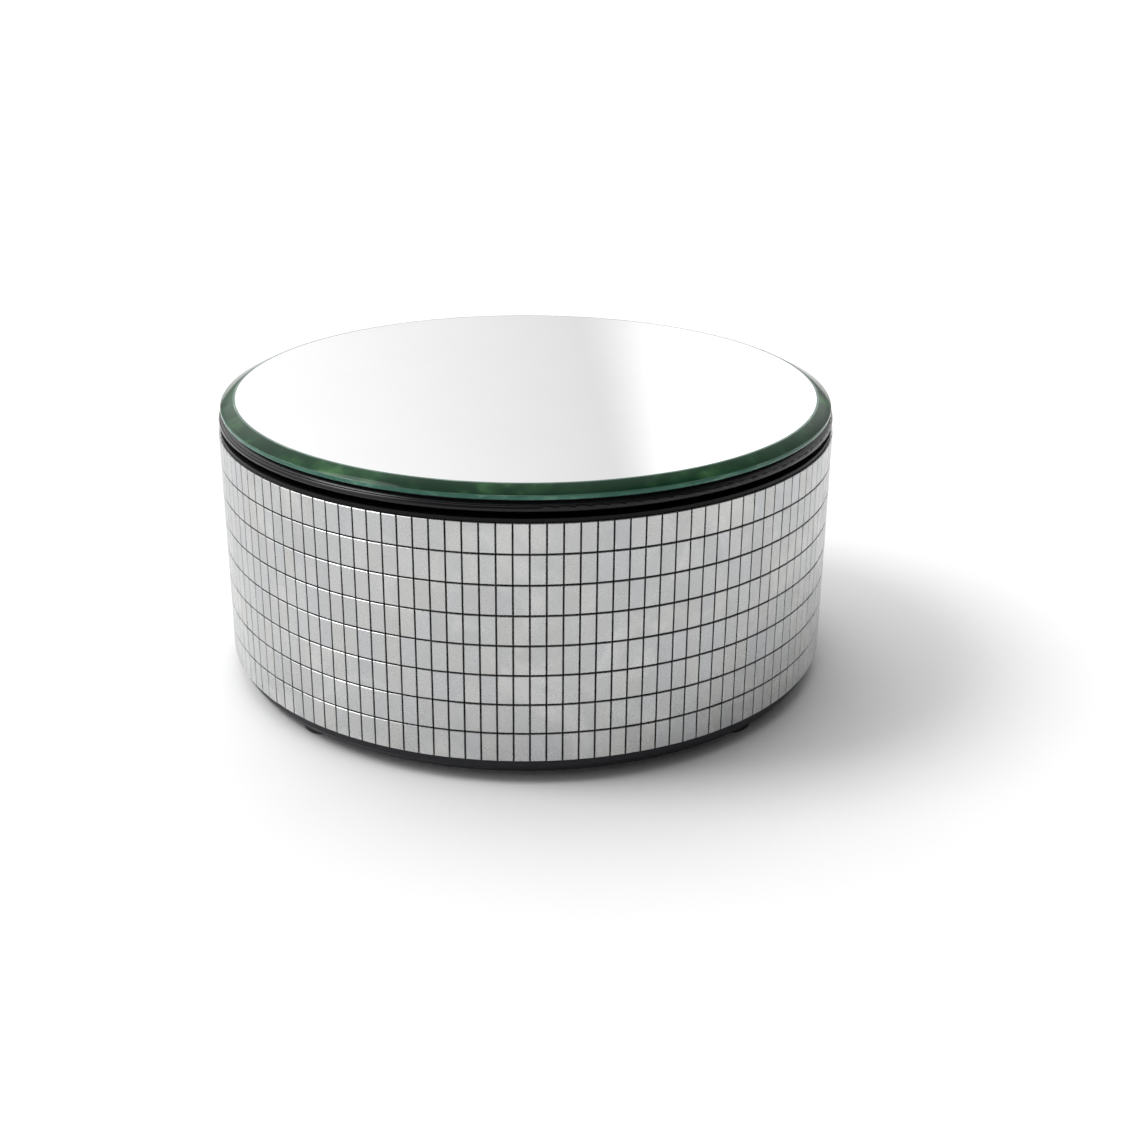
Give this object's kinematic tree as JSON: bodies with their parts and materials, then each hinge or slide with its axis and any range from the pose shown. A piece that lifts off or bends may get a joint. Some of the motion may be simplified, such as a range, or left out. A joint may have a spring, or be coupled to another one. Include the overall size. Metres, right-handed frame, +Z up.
{
  "type": "rotating display stand",
  "caption": "Low round motor-driven display stand: a bevelled mirror disc turns on a black platter over a drum clad in rows of small mirror tiles, on rubber feet.",
  "frame": {"origin": "on the surface the feet stand on, under the turning axis", "axes": "+Z up along the turning axis, towards the mirror's face; -Y towards the front, where a joint between two tile columns faces the viewer; +X to the viewer's right"},
  "size_m": [0.202, 0.202, 0.0927],
  "materials": {
    "mirror_glass": "polished, pale green at the cut edge",
    "silver_coat": "mirror",
    "mosaic_tile": "mirror tiles with a faint haze",
    "foam_tape": "closed-cell foam",
    "gloss_black": "gloss moulding",
    "satin_black": "satin moulding",
    "base_black": "fine spark texture",
    "foot_rubber": "soft rubber",
    "backing_mesh": "glued glass-fibre mesh",
    "gearbox_grey": "glass-filled nylon",
    "gear_plastic": "natural acetal",
    "ground_steel": "ground",
    "zinc_steel": "zinc plated",
    "bronze": "sintered bronze and brass",
    "motor_steel": "plated can and laminations",
    "cap_plastic": "nylon",
    "ferrite": "sintered ferrite",
    "roller_rubber": "rubber tyred roller",
    "cell_sleeve": "plain printed sleeve",
    "nickel": "nickel plated",
    "switch_plastic": "black acetal",
    "wire_red": "PVC sleeve",
    "wire_black": "PVC sleeve"
  },
  "bodies": {
    "stand": {"housing": "satin_black", "mosaic_backing": "backing_mesh", "mosaic_row_1": "mosaic_tile", "mosaic_row_2": "mosaic_tile", "mosaic_row_3": "mosaic_tile", "mosaic_row_4": "mosaic_tile", "mosaic_row_5": "mosaic_tile", "mosaic_row_6": "mosaic_tile", "mosaic_row_7": "mosaic_tile", "mosaic_row_8": "mosaic_tile", "base_plate": "base_black", "base_screws": "zinc_steel", "foot_1": "foot_rubber", "foot_2": "foot_rubber", "foot_3": "foot_rubber", "foot_4": "foot_rubber", "gearbox_frame": "gearbox_grey", "gearbox_cover": "gearbox_grey", "gearbox_screws": "zinc_steel", "lower_bush": "bronze", "upper_bush": "bronze", "thrust_washer": "gear_plastic", "axle_1": "ground_steel", "axle_2": "ground_steel", "axle_3": "ground_steel", "motor_case": "motor_steel", "motor_cap": "cap_plastic", "motor_magnets": "ferrite", "motor_screws": "zinc_steel", "roller_pins": "ground_steel", "battery_box": "satin_black", "contact_positive": "nickel", "contact_negative": "nickel", "contact_spring": "nickel", "switch_body": "nickel", "wire_supply": "wire_red", "wire_motor": "wire_red", "wire_return": "wire_black"},
    "turntable": {"mirror_glass": "mirror_glass", "mirror_silvering": "silver_coat", "adhesive_pad": "foam_tape", "platter": "gloss_black", "platter_screw": "zinc_steel", "spindle": "ground_steel", "spindle_clip": "ground_steel", "output_gear": "gear_plastic"},
    "gear_3": {"gear_3": "gear_plastic"},
    "gear_2": {"gear_2": "gear_plastic"},
    "gear_1": {"gear_1": "gear_plastic"},
    "motor_rotor": {"motor_armature": "motor_steel", "motor_pinion": "bronze"},
    "roller_1": {"roller_1": "roller_rubber"},
    "roller_2": {"roller_2": "roller_rubber"},
    "roller_3": {"roller_3": "roller_rubber"},
    "switch_knob": {"switch_knob": "switch_plastic"},
    "battery_door": {"battery_door": "base_black"},
    "dry_cell": {"dry_cell": "cell_sleeve", "dry_cell_cap": "nickel"}
  },
  "joints": [
    {"name": "turntable_spin", "type": "hinge", "parent": "stand", "child": "turntable", "pos_m": [0, 0, 0.08], "axis": [0, 0, 1], "continuous": true},
    {"name": "gear_3_spin", "type": "hinge", "parent": "stand", "child": "gear_3", "pos_m": [0.0336, 0, 0.06], "axis": [0, 0, 1], "continuous": true},
    {"name": "gear_2_spin", "type": "hinge", "parent": "stand", "child": "gear_2", "pos_m": [0.0426, 0.01559, 0.06], "axis": [0, 0, 1], "continuous": true},
    {"name": "gear_1_spin", "type": "hinge", "parent": "stand", "child": "gear_1", "pos_m": [0.02569, 0.02175, 0.06], "axis": [0, 0, 1], "continuous": true},
    {"name": "motor_spin", "type": "hinge", "parent": "stand", "child": "motor_rotor", "pos_m": [0.02256, 0.03947, 0.05], "axis": [0, 0, 1], "continuous": true},
    {"name": "roller_1_spin", "type": "hinge", "parent": "stand", "child": "roller_1", "pos_m": [0, 0.08, 0.07994], "axis": [0, 1, 0], "continuous": true},
    {"name": "roller_2_spin", "type": "hinge", "parent": "stand", "child": "roller_2", "pos_m": [-0.06928, -0.04, 0.07994], "axis": [-0.866, -0.5, 0], "continuous": true},
    {"name": "roller_3_spin", "type": "hinge", "parent": "stand", "child": "roller_3", "pos_m": [0.06928, -0.04, 0.07994], "axis": [0.866, -0.5, 0], "continuous": true},
    {"name": "switch_slide", "type": "slide", "parent": "stand", "child": "switch_knob", "axis": [1, 0, 0], "range_m": [0, 0.004]},
    {"name": "battery_door_lift", "type": "slide", "parent": "stand", "child": "battery_door", "axis": [0, 0, -1], "range_m": [0, 0.06]},
    {"name": "dry_cell_lift", "type": "slide", "parent": "stand", "child": "dry_cell", "axis": [0, 0, -1], "range_m": [0, 0.048]}
  ],
  "couplings": [
    {"joint": "gear_3_spin", "follows": "turntable_spin", "ratio": -6},
    {"joint": "gear_2_spin", "follows": "turntable_spin", "ratio": 30},
    {"joint": "gear_1_spin", "follows": "turntable_spin", "ratio": -150},
    {"joint": "motor_spin", "follows": "turntable_spin", "ratio": 750},
    {"joint": "roller_1_spin", "follows": "turntable_spin", "ratio": -13.333},
    {"joint": "roller_2_spin", "follows": "turntable_spin", "ratio": -13.333},
    {"joint": "roller_3_spin", "follows": "turntable_spin", "ratio": -13.333},
    {"joint": "dry_cell_lift", "follows": "battery_door_lift", "ratio": 0.8}
  ]
}
